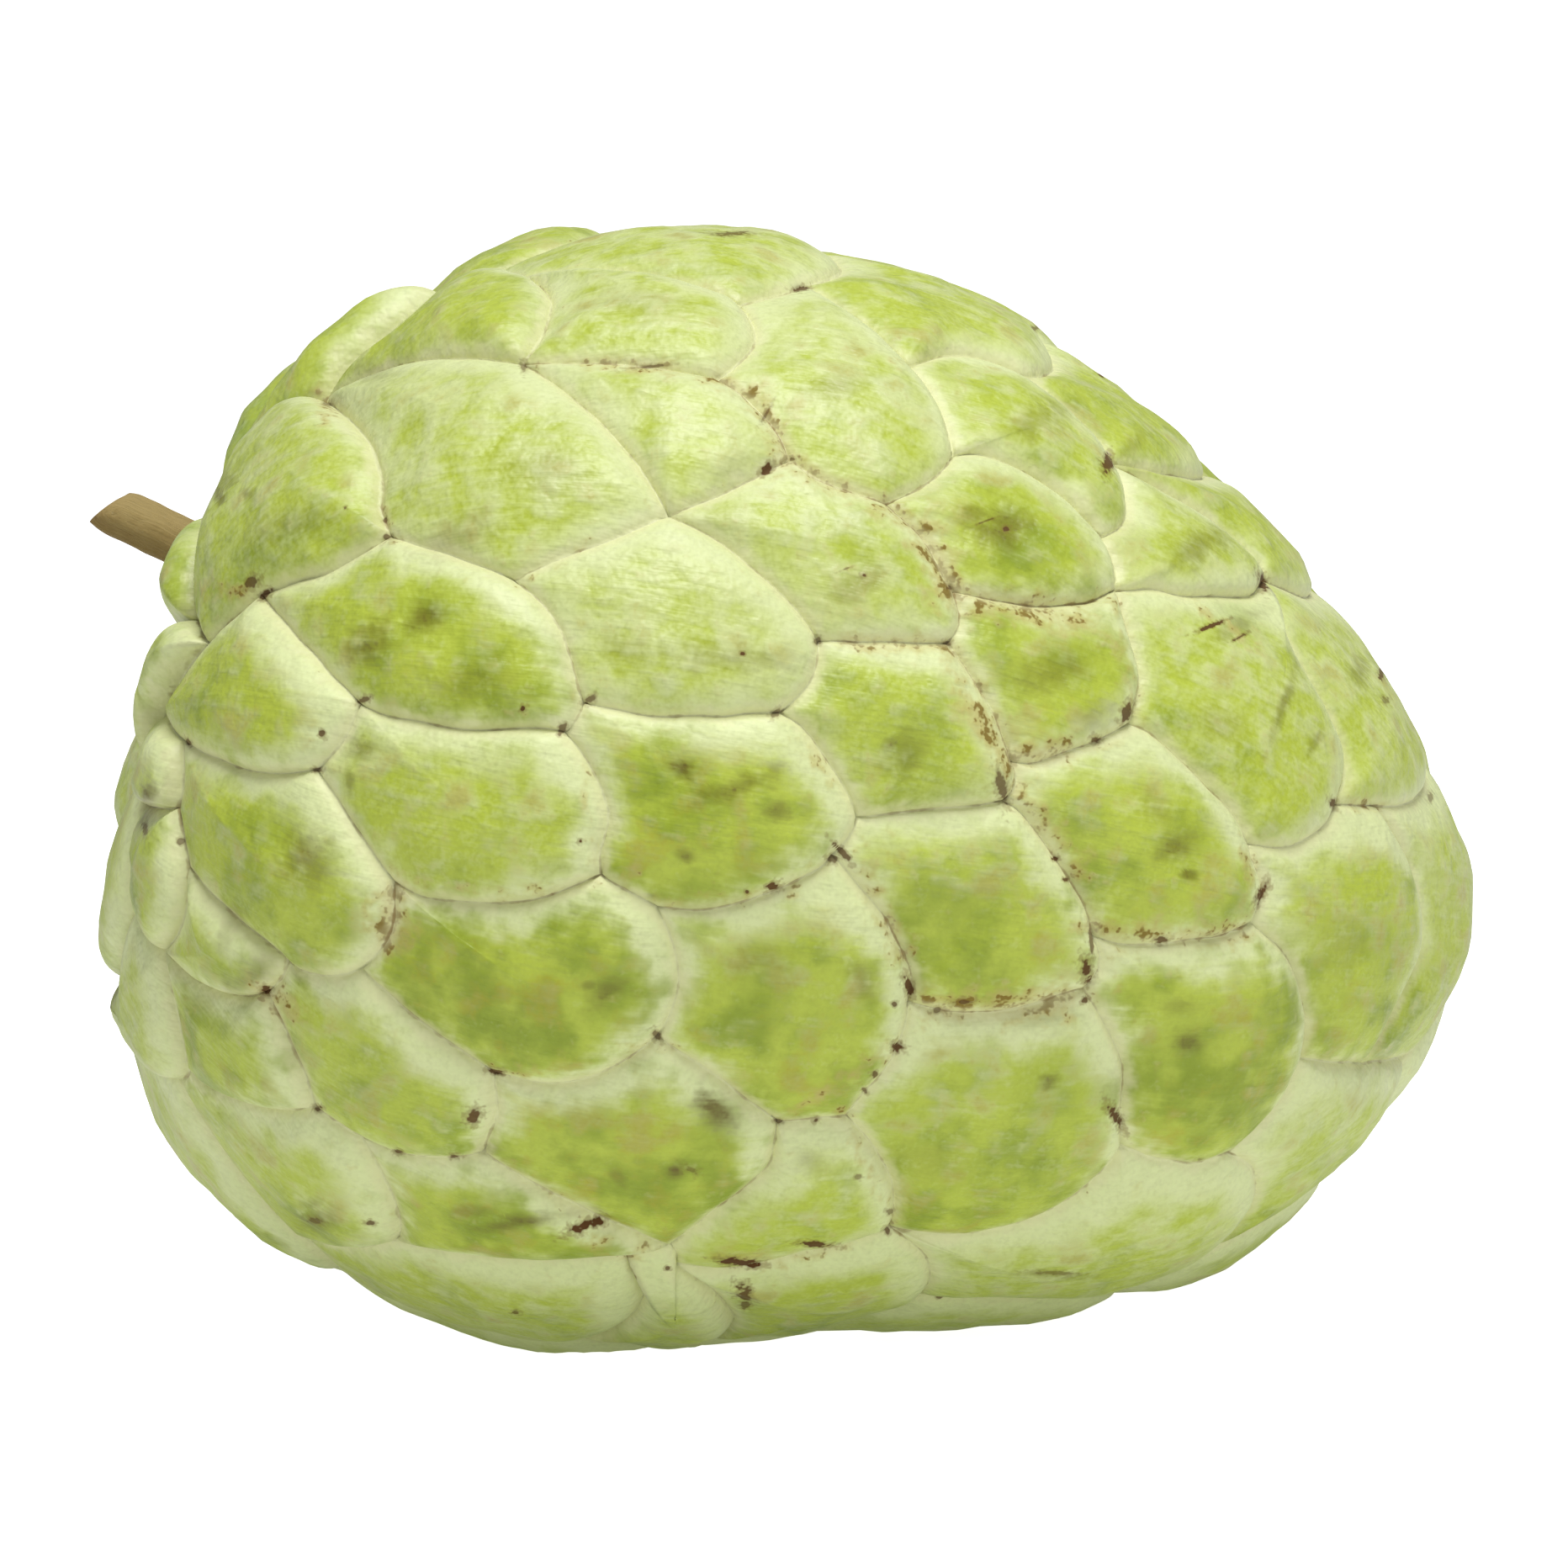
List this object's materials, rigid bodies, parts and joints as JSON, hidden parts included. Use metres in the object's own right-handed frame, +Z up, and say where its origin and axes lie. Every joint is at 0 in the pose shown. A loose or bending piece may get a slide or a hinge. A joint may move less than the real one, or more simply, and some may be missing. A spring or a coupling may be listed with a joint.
{
  "type": "cherimoya",
  "caption": "Whole ripe-green cherimoya lying on its side, heart-shaped and covered with overlapping scales, with a short cut stem.",
  "frame": {"origin": "on the resting plane, under the middle of the whole object's bounding box", "axes": "+Z up; +X along the fruit from the stem end to the blunt tip; the seen side faces -Y"},
  "size_m": [0.1234, 0.0982, 0.0989],
  "materials": {
    "skin": "waxy yellow-green fruit skin with pale rims and thin dark seams, semi-matte; plastic stands in for skin",
    "stem_wood": "dry, ridged, grey-brown woody stalk, matte"
  },
  "bodies": {
    "root": {"fruit": "skin", "stem": "stem_wood"}
  },
  "joints": []
}
